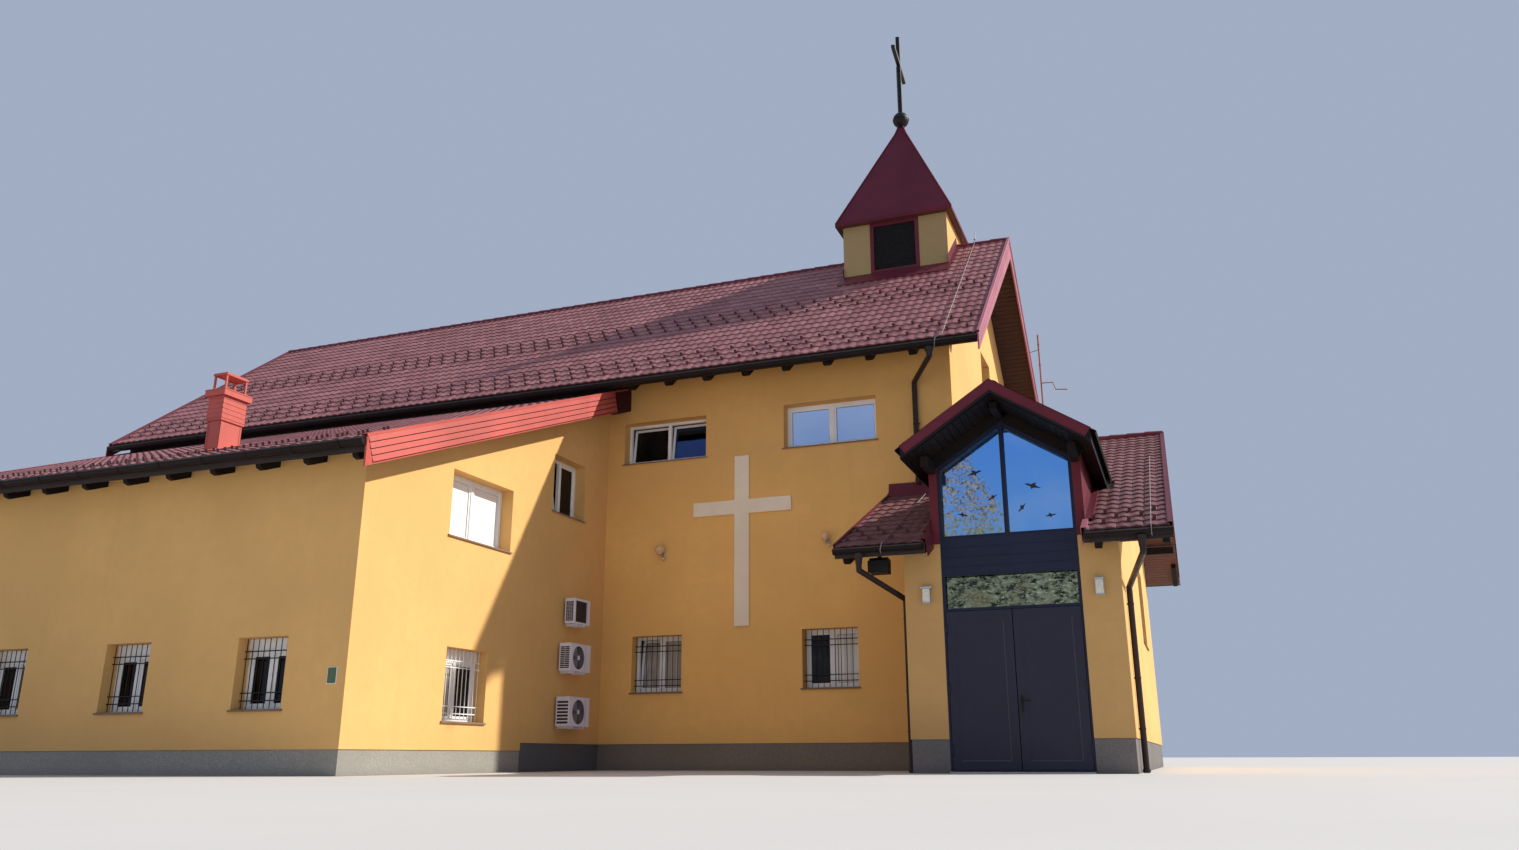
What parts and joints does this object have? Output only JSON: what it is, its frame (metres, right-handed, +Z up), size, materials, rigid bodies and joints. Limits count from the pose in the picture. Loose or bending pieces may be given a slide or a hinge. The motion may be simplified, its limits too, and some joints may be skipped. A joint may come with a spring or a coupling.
{
  "type": "modern church building",
  "caption": "Rendered church hall with a lean-to wing, a glazed gabled entrance with double doors, and a louvred bell turret topped by a cross.",
  "frame": {"origin": "middle of the outline at ground level", "axes": "+X along the ridge towards the entrance end, +Y from the front court to the back, +Z up"},
  "size_m": [24.11, 17.7404, 17.95],
  "materials": {
    "render": "painted mineral render, matt",
    "plinth": "grey coarse render, matt",
    "concrete": "plain concrete, matt",
    "tile": "brown-red roof tile, low sheen",
    "red_sheet": "wine-red coated sheet, satin",
    "dark_sheet": "dark brown coated sheet, satin",
    "anthracite": "anthracite powder coat, satin",
    "glass": "clear float glass",
    "white_frame": "white window profile, satin",
    "cream": "cream painted relief, matt",
    "cooler_case": "off-white coated steel case, satin"
  },
  "bodies": {
    "building": {"hall_base": "plinth", "wing_base": "plinth", "entrance_base": "plinth", "hall_front_wall": "render", "back_wall": "render", "hall_east_wall": "render", "hall_west_wall": "render", "wing_east_wall": "render", "wing_front_wall": "render", "wing_west_wall": "render", "entrance_left_wall": "render", "entrance_right_wall": "render", "entrance_east_wall": "render", "hall_upper_floor": "concrete", "wing_upper_floor": "concrete", "hall_roof_front": "tile", "hall_roof_back": "tile", "wing_roof": "tile", "entrance_roof_front": "tile", "entrance_roof_back": "tile", "portal_hood": "red_sheet", "portal_frame": "anthracite", "transom_glass": "glass", "gable_glass": "glass", "turret_walls": "render", "turret_louvre": "red_sheet", "turret_roof": "red_sheet", "turret_cross": "dark_sheet", "chimney": "red_sheet", "hall_verge_east": "red_sheet", "hall_verge_west": "red_sheet", "wing_verge": "red_sheet", "hall_gutter": "dark_sheet", "wing_gutter": "dark_sheet", "entrance_gutter_left": "dark_sheet", "entrance_gutter_right": "dark_sheet", "hall_downpipe": "dark_sheet", "entrance_downpipe_left": "dark_sheet", "entrance_downpipe_right": "dark_sheet", "facade_cross": "cream", "window_hall_upper_left": "white_frame", "window_hall_upper_right": "white_frame", "window_hall_lower_left": "white_frame", "window_hall_lower_right": "white_frame", "window_wing_upper_wide": "white_frame", "window_wing_upper_small": "white_frame", "window_wing_lower": "white_frame", "glass_wing_front": "glass", "glass_back_upper": "glass", "glass_back_lower": "glass", "glass_hall_gable": "glass", "glass_entrance_side": "glass", "glass_wing_west_upper": "glass", "glass_wing_west_lower": "glass", "cooling_unit_top": "cooler_case", "cooling_unit_middle": "cooler_case", "cooling_unit_bottom": "cooler_case"},
    "left_door": {"door_leaf_left": "anthracite"},
    "right_door": {"door_leaf_right": "anthracite", "door_handle": "dark_sheet"}
  },
  "joints": [
    {"name": "left_door_hinge", "type": "hinge", "parent": "building", "child": "left_door", "pos_m": [8.689, -3.9135, 1.2], "axis": [0, 0, 1], "range_deg": [-95, 0]},
    {"name": "right_door_hinge", "type": "hinge", "parent": "building", "child": "right_door", "pos_m": [10.681, -3.9135, 1.2], "axis": [0, 0, 1], "range_deg": [0, 95]}
  ]
}
